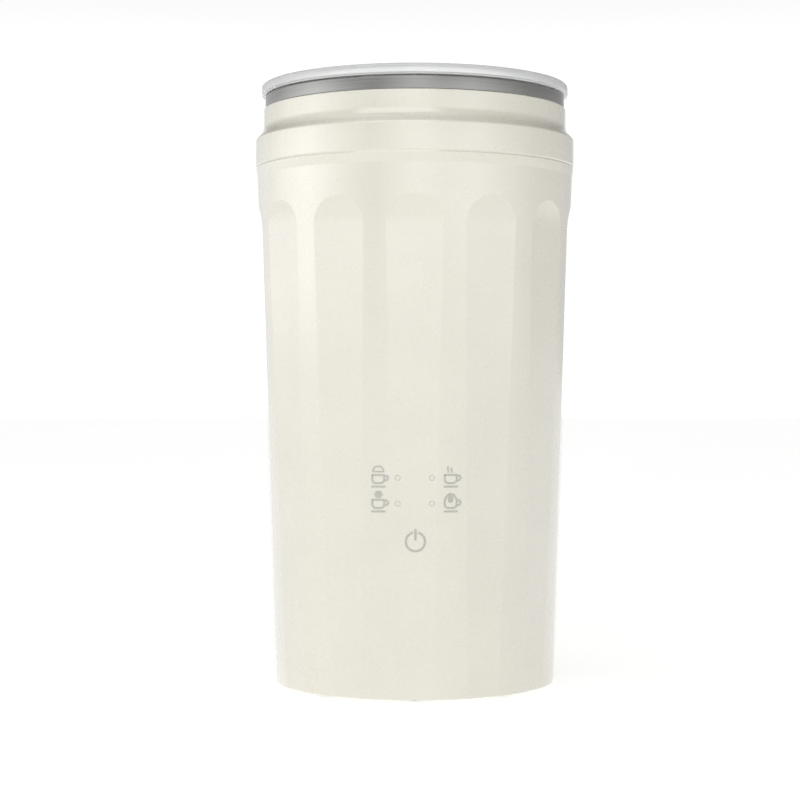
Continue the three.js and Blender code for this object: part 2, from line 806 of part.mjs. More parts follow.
add("whisk_bush", whiskBush(), BRASS);
add("whisk_hub", whiskHub(), DARK_PLASTIC);
[-MAGNET_X, MAGNET_X].forEach((x, i) => {
  add(`whisk_magnet_${i + 1}`, rodZ(MAGNET_R, WHISK_MAGNET_Z), MAGNET, [x, 0, 0]);
});
add("whisk_grip", whiskGrip(), DARK_PLASTIC);
add("whisk_coil", bar(new RingCoilCurve(), WIRE_R, COIL_TURNS * 6, 4), STEEL);

export default model;
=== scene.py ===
# A tall fluted electric milk frother: cream ABS body, brushed steel cup with a clear push-in lid, a
# magnet-driven whisk, and the heater, motor and boards below. It stands on a pale floor in soft light.
# Shapes are worked out in millimetres and put into the meshes in metres, in the frame of the CAD.

import json
import math

import bmesh
import bpy
import numpy as np
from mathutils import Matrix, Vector


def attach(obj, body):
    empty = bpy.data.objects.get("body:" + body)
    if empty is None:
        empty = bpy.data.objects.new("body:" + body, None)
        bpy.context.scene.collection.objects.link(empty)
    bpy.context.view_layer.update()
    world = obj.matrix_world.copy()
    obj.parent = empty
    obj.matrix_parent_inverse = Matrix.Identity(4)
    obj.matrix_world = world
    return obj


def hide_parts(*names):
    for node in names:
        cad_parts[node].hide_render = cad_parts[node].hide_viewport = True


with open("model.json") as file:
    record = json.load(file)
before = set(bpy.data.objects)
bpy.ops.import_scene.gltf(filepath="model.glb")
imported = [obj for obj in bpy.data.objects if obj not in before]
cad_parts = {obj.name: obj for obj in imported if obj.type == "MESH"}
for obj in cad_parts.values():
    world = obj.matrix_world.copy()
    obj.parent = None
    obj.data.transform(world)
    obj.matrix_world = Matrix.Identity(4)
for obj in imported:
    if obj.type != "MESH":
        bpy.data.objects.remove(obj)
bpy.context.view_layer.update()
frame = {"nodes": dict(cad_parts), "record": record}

MM = 0.001
FLUTES = 13
RIB_R, RIB_TAPER = 43.87, 0.036  # round ribs: radius at the table, and growth per mm of height
FLUTE_R, FLUTE_TAPER = 43.56, 0.033  # flat flutes: distance from the axis, in the same way
ARCH_SPRING = 140.6  # height where the flutes' arches start
# The arch is a half circle, so its radius is half of a flute's width at the spring line.
ARCH_R = math.sqrt((RIB_R + RIB_TAPER * ARCH_SPRING) ** 2 - (FLUTE_R + FLUTE_TAPER * ARCH_SPRING) ** 2)
WALL = 2.3
BODY_BOTTOM, FLARE = 1.2, 158.2  # the wall leans out from the flare up to the band
BAND_R, BAND_TOP = 50, 170
COLLAR_R, COLLAR_TOP = 47.45, 179.6
LEDGE_R, LEDGE_BOTTOM = 44.5, 168  # ledge inside the band, under the ring that the cup hangs on
BORE_R = 45.5  # inside of the collar
CUP_RIM_R, CUP_RIM_TOP = 46.9, 183.7
CUP_FLOOR = 87
LID_R, LID_TOP = 48.1, 187
DISH_TOP_R, DISH_FLOOR_R, DISH_FLOOR = 39.2, 37.8, 180.6
COVER_R, COVER_LOW, COVER_HIGH = 40.9, 1.8, 4.4
BOSS_R, BOSS_LOW, BOSS_HIGH = 3.4, 4.7, 20  # the posts that the cover is screwed to
SCREW_RING_R, SCREW_ANGLES = 36.4, np.radians([45, 135, 225, 315])
FOOT_RING_R, FOOT_ANGLES = 32.3, np.radians([0, 90, 180, 270])
KEY_X = (-10.65, 10.5)
KEY_ROWS = (66.1, 58.85)
POWER_KEY = (0.2, 47.75)
LIGHT_PLACES = [(x, z) for z in (66.4, 58.9) for x in (-5, 5)]
INLET_Z = 17
INLET_BACK, INLET_FACE = 27, 46.4
SOCKET_FLOOR = 31.4
PIN_R = 1.15
PIN_PLACES = [(-4.6, -1.6), (4.6, -1.6), (0, 2)]  # across, and above the inlet's middle


# ---- Outlines and grids ----

def unit(vector):
    return vector / np.linalg.norm(vector)


def rounded(corners, steps=6):
    """The closed outline through corners (radius, height, fillet) in mm. At each corner with a fillet the
    two edges are joined by the arc of that radius that touches both, drawn as equal turns from the first
    touching point to the second about the arc's centre."""
    corners = np.array(corners, float)
    path = []
    for before, corner, after in zip(np.roll(corners, 1, 0), corners, np.roll(corners, -1, 0)):
        here, fillet = corner[:2], corner[2]
        if fillet == 0:
            path.append(here[None])
            continue
        u, v = unit(before[:2] - here), unit(after[:2] - here)
        half = math.acos(np.clip(u @ v, -1, 1)) / 2
        centre = here + unit(u + v) * fillet / math.sin(half)
        start = here + u * fillet / math.tan(half) - centre
        end = here + v * fillet / math.tan(half) - centre
        turn = math.pi - 2 * half
        share = np.linspace(0, 1, steps + 1)[:, None]
        arc = (np.sin((1 - share) * turn) * start + np.sin(share * turn) * end) / math.sin(turn)
        path.append(centre + arc)
    return np.vstack(path)


def grid_faces(rows, columns, wrap_rows, wrap_columns):
    """Quads between neighbours of a rows x columns grid; a wrap joins the last line to the first."""
    r, c = np.meshgrid(
        np.arange(rows if wrap_rows else rows - 1),
        np.arange(columns if wrap_columns else columns - 1),
        indexing="ij",
    )
    r_next, c_next = (r + 1) % rows, (c + 1) % columns
    corners = [r * columns + c, r * columns + c_next, r_next * columns + c_next, r_next * columns + c]
    return np.stack(corners, -1).reshape(-1, 4)


def closed_mesh(name, grids):
    """One mesh of several grids, each (points in metres, wrap rows, wrap columns). Points that fall
    together are merged, which closes poles and seams, and faces are turned outwards."""
    points, faces, first = [], [], 0
    for grid, wrap_rows, wrap_columns in grids:
        rows, columns = grid.shape[:2]
        points.append(grid.reshape(-1, 3))
        faces.append(grid_faces(rows, columns, wrap_rows, wrap_columns) + first)
        first += rows * columns
    points, faces = np.vstack(points), np.vstack(faces)
    mesh = bpy.data.meshes.new(name)
    mesh.vertices.add(len(points))
    mesh.vertices.foreach_set("co", points.astype(np.float32).ravel())
    mesh.loops.add(faces.size)
    mesh.loops.foreach_set("vertex_index", faces.astype(np.int32).ravel())
    mesh.polygons.add(len(faces))
    mesh.polygons.foreach_set("loop_start", np.arange(0, faces.size, 4, dtype=np.int32))
    mesh.update(calc_edges=True)
    clean = bmesh.new()
    clean.from_mesh(mesh)
    bmesh.ops.remove_doubles(clean, verts=clean.verts, dist=2e-7)
    bmesh.ops.dissolve_degenerate(clean, edges=clean.edges, dist=1e-8)
    bmesh.ops.recalc_face_normals(clean, faces=clean.faces)
    clean.to_mesh(mesh)
    clean.free()
    return mesh


def turned_grid(outline, sides, centre=(0, 0)):
    """A surface of revolution: every outline point (radius, height) in mm goes round Z in equal steps."""
    angle = np.linspace(0, 2 * np.pi, sides, endpoint=False)[:, None]
    radius, height = outline[:, 0], outline[:, 1]
    x = centre[0] + radius * np.sin(angle)
    y = centre[1] - radius * np.cos(angle)
    on_axis = outline[0, 0] == 0 and outline[-1, 0] == 0
    return np.stack([x, y, height + 0 * angle], -1) * MM, True, not on_axis


def turned(name, corners, sides, steps=6, place=(0, 0)):
    """A mesh turned round Z from the closed outline through the corners."""
    return closed_mesh(name, [turned_grid(rounded(corners, steps), sides, place)])


def rod_up(radius, low, high, place, sides=48):
    """A plain upright rod."""
    return turned_grid(np.array([(0, low), (radius, low), (radius, high), (0, high)]), sides, place)


def turned_along_y(x, z, rows, sides=32):
    """A surface turned round an axis along Y through (x, z): a circle at each (y, radius), all in mm."""
    angle = np.linspace(0, 2 * np.pi, sides, endpoint=False)
    grid = [
        np.stack([x + radius * np.cos(angle), np.full(sides, y), z + radius * np.sin(angle)], -1)
        for y, radius in rows
    ]
    return np.array(grid) * MM, False, True


def rod_along_y(x, z, radius, near, far):
    """A round rod along Y, closed by drawing its ends in to the axis."""
    return turned_along_y(x, z, [(near, 0), (near, radius), (far, radius), (far, 0)])


def upright_strip(outline, angle, low, high):
    """A flat outline in X and Y, turned to its angle and carried from low to high, and closed by drawing
    each end in to its middle."""
    turn = np.array([[np.cos(angle), np.sin(angle)], [-np.sin(angle), np.cos(angle)]])
    middle = outline.mean(0)
    rows = [(low, 0), (low, 1), (high, 1), (high, 0)]
    grid = [np.insert((middle + (outline - middle) * size) @ turn, 2, z, axis=1) for z, size in rows]
    return np.array(grid) * MM, False, True


def box_grid(low, high, corner, steps=4):
    """A block with its four long edges along Y rounded: a rounded rectangle in X and Z, in mm, carried
    from low to high Y, and closed by drawing each end in to its centre."""
    (x0, y0, z0), (x1, y1, z1) = low, high
    ends = [(x0, z0, corner), (x1, z0, corner), (x1, z1, corner), (x0, z1, corner)]
    outline = rounded(ends, steps)
    middle = np.array([(x0 + x1) / 2, (z0 + z1) / 2])
    rows = [(y0, 0), (y0, 1), (y1, 1), (y1, 0)]
    grid = [np.insert(middle + (outline - middle) * size, 1, y, axis=1) for y, size in rows]
    return np.array(grid) * MM, False, True


def wire_grid(path, outward, radius, sides):
    """A round wire along a path in mm that closes on itself: at each point a circle in the plane across the
    path, measured from the outward direction."""
    along = np.roll(path, -1, 0) - np.roll(path, 1, 0)
    along /= np.linalg.norm(along, axis=1, keepdims=True)
    outward = outward - (outward * along).sum(1, keepdims=True) * along
    outward /= np.linalg.norm(outward, axis=1, keepdims=True)
    across = np.cross(along, outward)
    angle = np.linspace(0, 2 * np.pi, sides, endpoint=False)[None, :, None]
    ring = np.cos(angle) * outward[:, None] + np.sin(angle) * across[:, None]
    return (path[:, None] + ring * radius) * MM, True, True


# ---- Pieces ----

def piece(mesh, material, body, replaces=(), smooth_below=35):
    """An object of the mesh, shaded smooth below that many degrees, riding on a body of the frame."""
    mesh.shade_smooth()
    mesh.set_sharp_from_angle(angle=math.radians(smooth_below))
    made = bpy.data.objects.new(mesh.name, mesh)
    bpy.context.scene.collection.objects.link(made)
    mesh.materials.append(material)
    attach(made, body)
    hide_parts(*replaces)
    return made


def merge(mesh, tools, operation):
    """The mesh joined with the tool grids, or with them cut away, as one exact solid."""
    scene = bpy.context.scene
    target = bpy.data.objects.new("target", mesh)
    tool = bpy.data.objects.new("tool", closed_mesh("tool", tools))
    scene.collection.objects.link(target)
    scene.collection.objects.link(tool)
    step = target.modifiers.new("step", "BOOLEAN")
    step.operation = operation
    step.solver = "EXACT"
    step.object = tool
    graph = bpy.context.evaluated_depsgraph_get()
    made = bpy.data.meshes.new_from_object(target.evaluated_get(graph))
    name = mesh.name
    for helper in (target, tool):
        data = helper.data
        bpy.data.objects.remove(helper)
        bpy.data.meshes.remove(data)
    made.name = name
    return made


# ---- Colours and shader nodes ----

def linear(hex_colour):
    """sRGB hex to linear RGBA: a channel c up to 0.04045 is divided by 12.92, and above that it becomes
    ((c + 0.055) / 1.055) to the power 2.4."""
    srgb = np.array([int(hex_colour[i:i + 2], 16) for i in (1, 3, 5)]) / 255
    low, high = srgb / 12.92, ((srgb + 0.055) / 1.055) ** 2.4
    return (*np.where(srgb <= 0.04045, low, high).tolist(), 1.0)


def add(tree, kind, inputs=None, **settings):
    """Adds a shader node. Settings are its own choices, and each input is a value or a socket to link."""
    made = tree.nodes.new(kind)
    for name, value in settings.items():
        setattr(made, name, value)
    for name, value in (inputs or {}).items():
        socket = made.inputs[name]
        if isinstance(value, bpy.types.NodeSocket):
            tree.links.new(value, socket)
        else:
            socket.default_value = value
    return made


def per_mm(spacing):
    """A texture scale that repeats about once per spacing in mm, on coordinates in metres."""
    return 1 / (spacing * MM)


def new_material(name):
    """An empty node material with its surface shader and output, and Object coordinates to draw on."""
    made = bpy.data.materials.new(name)
    made.use_nodes = True
    tree = made.node_tree
    tree.nodes.clear()
    shader = add(tree, "ShaderNodeBsdfPrincipled")
    add(tree, "ShaderNodeOutputMaterial", {"Surface": shader.outputs["BSDF"]})
    place = add(tree, "ShaderNodeTexCoord").outputs["Object"]
    return made, tree, shader, place


def pattern(tree, place, spacing, detail, stretch=(1, 1, 1)):
    """A random pattern whose patches are about one spacing in mm, each axis stretched by its factor."""
    mapped = add(tree, "ShaderNodeMapping", {"Vector": place, "Scale": [1 / factor for factor in stretch]})
    settings = {"Vector": mapped.outputs[0], "Scale": per_mm(spacing), "Detail": detail}
    return add(tree, "ShaderNodeTexNoise", settings).outputs["Fac"]


def blend_colours(tree, shader, fac, dark, light, low=0.3, high=0.7):
    """Base colour that runs from dark to light as fac goes from low to high."""
    ramp = add(tree, "ShaderNodeValToRGB", {"Fac": fac})
    ramp.color_ramp.elements[0].position = low
    ramp.color_ramp.elements[1].position = high
    ramp.color_ramp.elements[0].color = linear(dark)
    ramp.color_ramp.elements[1].color = linear(light)
    tree.links.new(ramp.outputs["Color"], shader.inputs["Base Color"])


def spread_roughness(tree, shader, fac, low, high):
    """Roughness from low to high as fac goes from 0.3 to 0.7."""
    ends = {"Value": fac, "From Min": 0.3, "From Max": 0.7, "To Min": low, "To Max": high}
    ranged = add(tree, "ShaderNodeMapRange", ends)
    tree.links.new(ranged.outputs["Result"], shader.inputs["Roughness"])


def emboss(tree, shader, height, depth, strength=1.0):
    """Relief of that depth in mm where height goes from 0 to 1."""
    relief = {"Height": height, "Distance": depth * MM, "Strength": strength}
    bump = add(tree, "ShaderNodeBump", relief)
    tree.links.new(bump.outputs["Normal"], shader.inputs["Normal"])


# ---- Materials ----

def cream_abs():
    """Moulded ABS in warm cream under a satin lacquer: smooth, with soft reflections of the room that the
    flutes break up, a shade that drifts over centimetres, and a faint orange peel of about 1.5 mm."""
    made, tree, shader, place = new_material("cream_lacquered_abs")
    blend_colours(tree, shader, pattern(tree, place, 22, 3), "#d8d5c7", "#dcd9cb")
    spread_roughness(tree, shader, pattern(tree, place, 5, 2), 0.25, 0.29)
    emboss(tree, shader, pattern(tree, place, 1.5, 1), 0.0008)
    shader.inputs["IOR"].default_value = 1.54
    shader.inputs["Specular IOR Level"].default_value = 1.0
    shader.inputs["Coat Weight"].default_value = 1.0
    shader.inputs["Coat Roughness"].default_value = 0.16
    shader.inputs["Coat IOR"].default_value = 1.7
    return made


def brushed_steel():
    """Stainless steel spun and brushed round its axis: fine lines that run round the band, which draw the
    highlights out into streaks. Lines are about 0.12 mm apart in height and run on for some 30 mm."""
    made, tree, shader, place = new_material("brushed_stainless_steel")
    lines = pattern(tree, place, 0.12, 3, (250, 250, 1))
    blend_colours(tree, shader, lines, "#8c8c8b", "#999998")
    spread_roughness(tree, shader, lines, 0.22, 0.28)
    emboss(tree, shader, lines, 0.002)
    shader.inputs["Metallic"].default_value = 1.0
    return made


def non_stick():
    """Grey ceramic non-stick coat, sprayed: a semi-gloss with fine pale and dark specks of about 0.5 mm."""
    made, tree, shader, place = new_material("ceramic_non_stick_coat")
    specks = pattern(tree, place, 0.5, 2)
    blend_colours(tree, shader, specks, "#5e5e5d", "#807f7c", 0.38, 0.72)
    ripple = pattern(tree, place, 1.6, 1)
    spread_roughness(tree, shader, ripple, 0.30, 0.38)
    emboss(tree, shader, ripple, 0.01)
    shader.inputs["Coat Weight"].default_value = 0.3
    shader.inputs["Coat Roughness"].default_value = 0.15
    return made


def frosted_san():
    """Moulded SAN, clear but softly frosted: the edge looks pale and lit from within, and shapes behind it
    are only hinted at. The frosting drifts a little over some millimetres."""
    made, tree, shader, place = new_material("frosted_clear_san")
    cloud = pattern(tree, place, 9, 2)
    blend_colours(tree, shader, cloud, "#f4f6f5", "#fafbfa")
    spread_roughness(tree, shader, pattern(tree, place, 2.5, 2), 0.10, 0.16)
    emboss(tree, shader, cloud, 0.01)
    shader.inputs["Transmission Weight"].default_value = 0.46
    shader.inputs["IOR"].default_value = 1.5
    return made


def milky_light_pipe():
    """Light pipe of milky polycarbonate, tinted to match the body, so that it hardly shows unlit."""
    made, tree, shader, place = new_material("milky_polycarbonate")
    cloud = pattern(tree, place, 0.8, 2)
    blend_colours(tree, shader, cloud, "#d9d6c9", "#e0ddd1")
    spread_roughness(tree, shader, cloud, 0.22, 0.32)
    shader.inputs["IOR"].default_value = 1.58
    return made


def pad_ink():
    """Warm grey pad-printed ink: matt, and a touch uneven where the ink lay thin."""
    made, tree, shader, place = new_material("pad_printed_grey_ink")
    cover = pattern(tree, place, 0.45, 2)
    blend_colours(tree, shader, cover, "#b0b0a8", "#bebeb6")
    spread_roughness(tree, shader, cover, 0.5, 0.62)
    return made


def plastic(name, dark, light, low, high):
    """Moulded plastic with a spark-eroded grain of about 0.3 mm, between two close shades."""
    made, tree, shader, place = new_material(name)
    grain = pattern(tree, place, 0.3, 2)
    blend_colours(tree, shader, pattern(tree, place, 6, 3), dark, light)
    spread_roughness(tree, shader, grain, low, high)
    emboss(tree, shader, grain, 0.008)
    return made


def silicone(name, dark, light, roughness):
    """Silicone or rubber: a dull skin with soft mottling and a bloom of fine dust in its grain."""
    made, tree, shader, place = new_material(name)
    mottle = pattern(tree, place, 1.5, 3)
    blend_colours(tree, shader, mottle, dark, light)
    spread_roughness(tree, shader, mottle, roughness - 0.06, roughness + 0.06)
    emboss(tree, shader, pattern(tree, place, 0.25, 2), 0.01)
    shader.inputs["IOR"].default_value = 1.41
    return made


def metal(name, dark, light, low, high, spacing, stretch):
    """Drawn, turned or plated metal: fine tool lines of that spacing in mm, stretched along the work."""
    made, tree, shader, place = new_material(name)
    lines = pattern(tree, place, spacing, 3, stretch)
    blend_colours(tree, shader, lines, dark, light)
    spread_roughness(tree, shader, lines, low, high)
    emboss(tree, shader, lines, 0.004)
    shader.inputs["Metallic"].default_value = 1.0
    return made


def lacquered_board():
    """Green solder lacquer over woven glass: a glossy film with the weave's 0.6 mm squares just showing."""
    made, tree, shader, place = new_material("lacquered_circuit_board")
    weave = add(tree, "ShaderNodeTexChecker", {"Vector": place, "Scale": per_mm(0.6)}).outputs["Fac"]
    blend_colours(tree, shader, pattern(tree, place, 2, 3), "#1d4a2a", "#2b6338")
    spread_roughness(tree, shader, pattern(tree, place, 4, 2), 0.22, 0.34)
    emboss(tree, shader, weave, 0.01, 0.5)
    return made


CREAM = cream_abs()
STEEL = brushed_steel()
COAT = non_stick()
CLEAR = frosted_san()
LIGHT_PIPE = milky_light_pipe()
INK = pad_ink()
# Wire, springs, screws, pin, shaft, sensor and motor can: a cold bright shine, drawn out into streaks.
BRIGHT = metal("drawn_bright_steel", "#b4b4b2", "#d2d2cf", 0.16, 0.28, 0.15, (1, 1, 20))
# Heater plate and element: pale and satin, lined by the die.
ALUMINIUM = metal("extruded_aluminium", "#a9abad", "#c3c5c6", 0.34, 0.46, 0.2, (20, 20, 1))
# Contact pins and bush: warm yellow with a soft turned sheen.
BRASS = metal("turned_brass", "#b08d3c", "#cdab57", 0.22, 0.34, 0.15, (20, 20, 1))
# Magnets: a smooth grey mirror, faintly hazed.
NICKEL = metal("nickel_plated_magnet", "#a7a8aa", "#bfc0c1", 0.14, 0.24, 0.6, (1, 1, 1))
# Armature: brown lacquered windings, dull and ridged along the shaft.
COPPER = metal("lacquered_copper_and_core", "#5d3018", "#a8683c", 0.30, 0.44, 0.35, (1, 1, 12))
# Inlet, whisk hub and grip, motor end cap, relay and cut-out: near black, with a fine dull grain.
BLACK = plastic("black_moulded_pbt", "#1c1c1d", "#242425", 0.42, 0.56)
# Motor chassis, drive disc, flat cable, capacitor and LEDs: off-white and waxy.
WHITE = plastic("white_moulded_nylon", "#d6d5cd", "#e0dfd8", 0.40, 0.50)
# Lid seal, gasket and heater lead: milky and soft, with little shine.
SILICONE = silicone("translucent_white_silicone", "#cfcfc9", "#dededa", 0.55)
# Feet and motor damper: matt black.
RUBBER = silicone("black_rubber", "#1a1a1a", "#242424", 0.78)
BOARD = lacquered_board()

SLOT_MATERIALS = {
    "cream_plastic": CREAM,
    "clear_lid": CLEAR,
    "light_pipe": LIGHT_PIPE,
    "cup_steel": STEEL,
    "bright_steel": BRIGHT,
    "silicone": SILICONE,
    "black_rubber": RUBBER,
    "black_plastic": BLACK,
    "white_plastic": WHITE,
    "circuit_board": BOARD,
    "aluminium": ALUMINIUM,
    "brass": BRASS,
    "magnet": NICKEL,
    "armature_core": COPPER,
}
# Every CAD node takes the finish of its slot. Below, finer pieces replace the nodes that can be seen.
for row in frame["record"]["subparts"]:
    data = frame["nodes"][row["node"]].data
    data.materials.clear()
    data.materials.append(SLOT_MATERIALS[row["material_slot"]])


# ---- Body ----

def flute_half_width(heights):
    """Half of a flute's width: where its flat meets the rib's cone, and above the spring line a quarter
    circle that closes the flute in an arch."""
    rib, flat = RIB_R + RIB_TAPER * heights, FLUTE_R + FLUTE_TAPER * heights
    straight = np.sqrt(np.maximum(rib**2 - flat**2, 0))
    above = np.clip(heights - ARCH_SPRING, 0, ARCH_R)
    return np.where(heights > ARCH_SPRING, np.sqrt(ARCH_R**2 - above**2), straight)


def wall_columns(heights):
    """Angle from the front at each height and column, in radians. A column's share is 0 at the middle of a
    flute, 0.5 on its edge and 1 at the middle of the rib, and the columns crowd at the edge."""
    share = np.concatenate([np.linspace(0, 0.46, 13), np.linspace(0.48, 0.52, 3), np.linspace(0.54, 1, 8)])
    share = np.concatenate([-share[:0:-1], share[:-1]])
    edge = np.arcsin(flute_half_width(heights) / (RIB_R + RIB_TAPER * heights))[:, None]
    half_pitch = np.pi / FLUTES
    size = np.abs(share)
    turn = np.where(size <= 0.5, 2 * size * edge, edge + (2 * size - 1) * (half_pitch - edge))
    turn = np.sign(share) * turn
    middles = 2 * half_pitch * np.arange(FLUTES)
    angle = (middles[None, :, None] + turn[:, None, :]).reshape(len(heights), -1)
    return angle, np.tile(turn, FLUTES)


def fluted_radius(heights, turn):
    """The lesser of the rib's radius and the flute's distance divided by the cosine of the turn from its
    middle. That distance is the root of the rib's radius squared less the half width squared, so the flat
    curves out and meets the rib all round its arch."""
    rib = (RIB_R + RIB_TAPER * heights)[:, None]
    flute = np.sqrt(rib**2 - flute_half_width(heights)[:, None] ** 2)
    return np.minimum(rib, flute / np.cos(turn))


def body_grid():
    """The ribbed wall from the bottom edge up, whose radius the flutes lower, and then a round outline that
    goes on over the band, the shoulder and the collar and comes back down inside."""
    fillet = 0.5
    curve = fillet * (1 - np.cos(np.linspace(0, np.pi / 2, 5)))
    heights = np.concatenate([
        BODY_BOTTOM + curve,
        np.linspace(4, ARCH_SPRING - 0.5, 27),
        ARCH_SPRING + ARCH_R * np.sin(np.linspace(0, np.pi / 2, 33)),
        np.linspace(ARCH_SPRING + ARCH_R + 1, 157, 5),
    ])
    angle, turn = wall_columns(heights)
    near = np.clip(fillet - (heights - BODY_BOTTOM), 0, fillet)
    ribbed = fluted_radius(heights, turn) - (fillet - np.sqrt(fillet**2 - near**2))[:, None]
    crown = rounded([
        (RIB_R + RIB_TAPER * 157.2, 157.2, 0),
        (RIB_R + RIB_TAPER * FLARE, FLARE, 1.5),
        (BAND_R - 0.05, 161.0, 0.3),
        (BAND_R - 0.18, 161.4, 0),  # the fine line under the band
        (BAND_R, 161.8, 0.2),
        (BAND_R, BAND_TOP, 1.0),
        (COLLAR_R, 172.55, 4.6),
        (COLLAR_R, COLLAR_TOP, 0.35),
        (BORE_R, COLLAR_TOP, 0.1),
        (BORE_R, BAND_TOP, 0),
        (LEDGE_R, BAND_TOP, 0),
        (LEDGE_R, LEDGE_BOTTOM, 0),
        (FLUTE_R + FLUTE_TAPER * 162.2 - WALL, 162.2, 0),
        (FLUTE_R + FLUTE_TAPER * BODY_BOTTOM - WALL, BODY_BOTTOM, 0),
    ], 8)
    heights = np.concatenate([heights, crown[:, 1]])
    radius = np.vstack([ribbed, np.tile(crown[:, :1], (1, ribbed.shape[1]))])
    angle = wall_columns(heights)[0]
    x, y = radius * np.sin(angle), -radius * np.cos(angle)
    z = np.tile(heights[:, None], (1, angle.shape[1]))
    return np.stack([x, y, z], -1) * MM, True, True


def on_circle(radius, angles):
    """Places (x, y) at those angles on a circle round the axis."""
    return np.stack([radius * np.cos(angles), radius * np.sin(angles)], -1)


SCREW_PLACES = on_circle(SCREW_RING_R, SCREW_ANGLES)
FOOT_PLACES = on_circle(FOOT_RING_R, FOOT_ANGLES)


def upright_web(angle):
    """A thin wall that ties a screw boss to the body: a strip from the boss's axis out, carried up."""
    near, far, half = SCREW_RING_R, 42.2, 1.2
    strip = np.array([(near, -half), (far, -half), (far, half), (near, half)])
    return upright_strip(strip, angle, BOSS_LOW, BOSS_HIGH)


def fluted_body():
    """The fluted shell with its screw bosses and the flat landing of the inlet, and its holes cut."""
    mesh = closed_mesh("body_shell", [body_grid()])
    landing = box_grid((-14, 42, INLET_Z - 11), (14, 44.5, INLET_Z + 11), 4, 8)
    webs = [upright_web(angle) for angle in SCREW_ANGLES]
    bosses = [rod_up(BOSS_R, BOSS_LOW, BOSS_HIGH, place, 32) for place in SCREW_PLACES]
    bores = [rod_up(1.65, 3.7, 18, place) for place in SCREW_PLACES]
    window = box_grid((-10.7, 36, INLET_Z - 7.7), (10.7, 50, INLET_Z + 7.7), 2.3, 6)
    holes = [rod_along_y(x, z, 0.8, -50, -40) for x, z in LIGHT_PLACES]
    mesh = merge(mesh, [landing, *webs], "UNION")
    mesh = merge(mesh, bosses, "UNION")
    mesh = merge(mesh, bores, "DIFFERENCE")
    return merge(mesh, [window, *holes], "DIFFERENCE")


piece(fluted_body(), CREAM, "housing", ["fluted_body"])


# ---- Cup ----

def seat_mesh():
    """The ring inside the collar that the cup hangs on."""
    inner, outer, low, high = 43.9, 45.2, BAND_TOP + 0.3, 181.3
    corners = [(inner, low, 0.2), (outer, low, 0.2), (outer, high, 0.3), (inner, high, 0.3)]
    return turned("cup_seat_ring", corners, 192)


def spun_cup():
    """The cup turned from its outline, rim rolled out and down, and a mark on each face that takes the
    non-stick coat: those in the bowl that look in or up."""
    mesh = turned("steel_cup", [
        (0, 86.1, 0),
        (39.35, 86.1, 6.9),
        (43.1, 182.7, 0.6),
        (46, 182.7, 0.3),
        (46, 179.65, 0.15),
        (CUP_RIM_R, 179.65, 0.2),
        (CUP_RIM_R, CUP_RIM_TOP, 0.4),
        (42.25, CUP_RIM_TOP, 1.6),
        (38.42, CUP_FLOOR, 6),
        (0, CUP_FLOOR, 0),
    ], 256, 10)
    centres = np.empty(len(mesh.polygons) * 3)
    normals = np.empty(len(mesh.polygons) * 3)
    mesh.polygons.foreach_get("center", centres)
    mesh.polygons.foreach_get("normal", normals)
    centres, normals = centres.reshape(-1, 3) / MM, normals.reshape(-1, 3)
    inward = -(centres[:, :2] * normals[:, :2]).sum(1)
    looks_in = (inward > 0.1) | (normals[:, 2] > 0.5)
    height, radius = centres[:, 2], np.hypot(centres[:, 0], centres[:, 1])
    in_bowl = (height > CUP_FLOOR - 0.5) & (height < CUP_RIM_TOP - 1.2) & (radius < 42.5)
    return mesh, looks_in & in_bowl


piece(seat_mesh(), CREAM, "housing", ["cup_seat"])
cup_mesh, coated_faces = spun_cup()
piece(cup_mesh, STEEL, "housing", ["inner_cup"])
cup_mesh.materials.append(COAT)
cup_mesh.polygons.foreach_set("material_index", coated_faces.astype(np.int32))
cup_mesh.update()


# ---- Lid ----

def lid_mesh():
    """Flange, lip, plug with the seal's groove and the dish, turned, with the finger bar joined across."""
    mesh = turned("clear_lid", [
        (0, 178.4, 0),
        (38.6, 178.4, 0.4),
        (38.6, 177.2, 0.3),
        (41, 177.2, 0.5),
        (41, 179.9, 0.2),
        (39.7, 179.9, 0.2),
        (39.7, 182.7, 0.2),
        (41.2, 182.7, 0.2),
        (41.2, 184.5, 0.4),
        (45.6, 184.5, 0.1),
        (45.6, 183.9, 0.15),
        (47.4, 183.9, 0.2),
        (47.4, 184.2, 0.1),
        (LID_R, 184.2, 0.35),
        (LID_R, LID_TOP, 0.7),
        (DISH_TOP_R, LID_TOP, 0.6),
        (DISH_FLOOR_R, DISH_FLOOR, 1.2),
        (0, DISH_FLOOR, 0),
    ], 224, 5)
    section = rounded([(-5.6, 179.5, 0), (5.6, 179.5, 0), (5, 186.6, 1.4), (-5, 186.6, 1.4)])
    middle = np.array([0, 183])
    reach = DISH_TOP_R - 0.1
    ends = [(-reach, 0), (-reach, 1), (reach, 1), (reach, 0)]
    bar = [np.insert(middle + (section - middle) * size, 0, x, axis=1) for x, size in ends]
    return merge(mesh, [(np.array(bar) * MM, False, True)], "UNION")


def seal_mesh():
    """The silicone ring round the lid's plug, drawn out to a blunt lip at half its height."""
    inner, shoulder, lip, low, high = 40, 41.3, 42, 180.2, 182.4
    return turned("lid_seal_ring", [
        (inner, low, 0.2),
        (shoulder, low, 0.2),
        (lip, (low + high) / 2, 0.3),
        (shoulder, high, 0.2),
        (inner, high, 0.2),
    ], 192)


piece(lid_mesh(), CLEAR, "lid", ["lid"])
piece(seal_mesh(), SILICONE, "lid", ["lid_seal"])


# ---- Whisk and its pin ----

COIL_R, COIL_Z = 14.4, 92.5  # the ring that the wire is wound round
COIL_TURN_R, COIL_TURNS, WIRE_R = 2.6, 22, 0.45
POST_R, POST_TOP = 4.4, 106


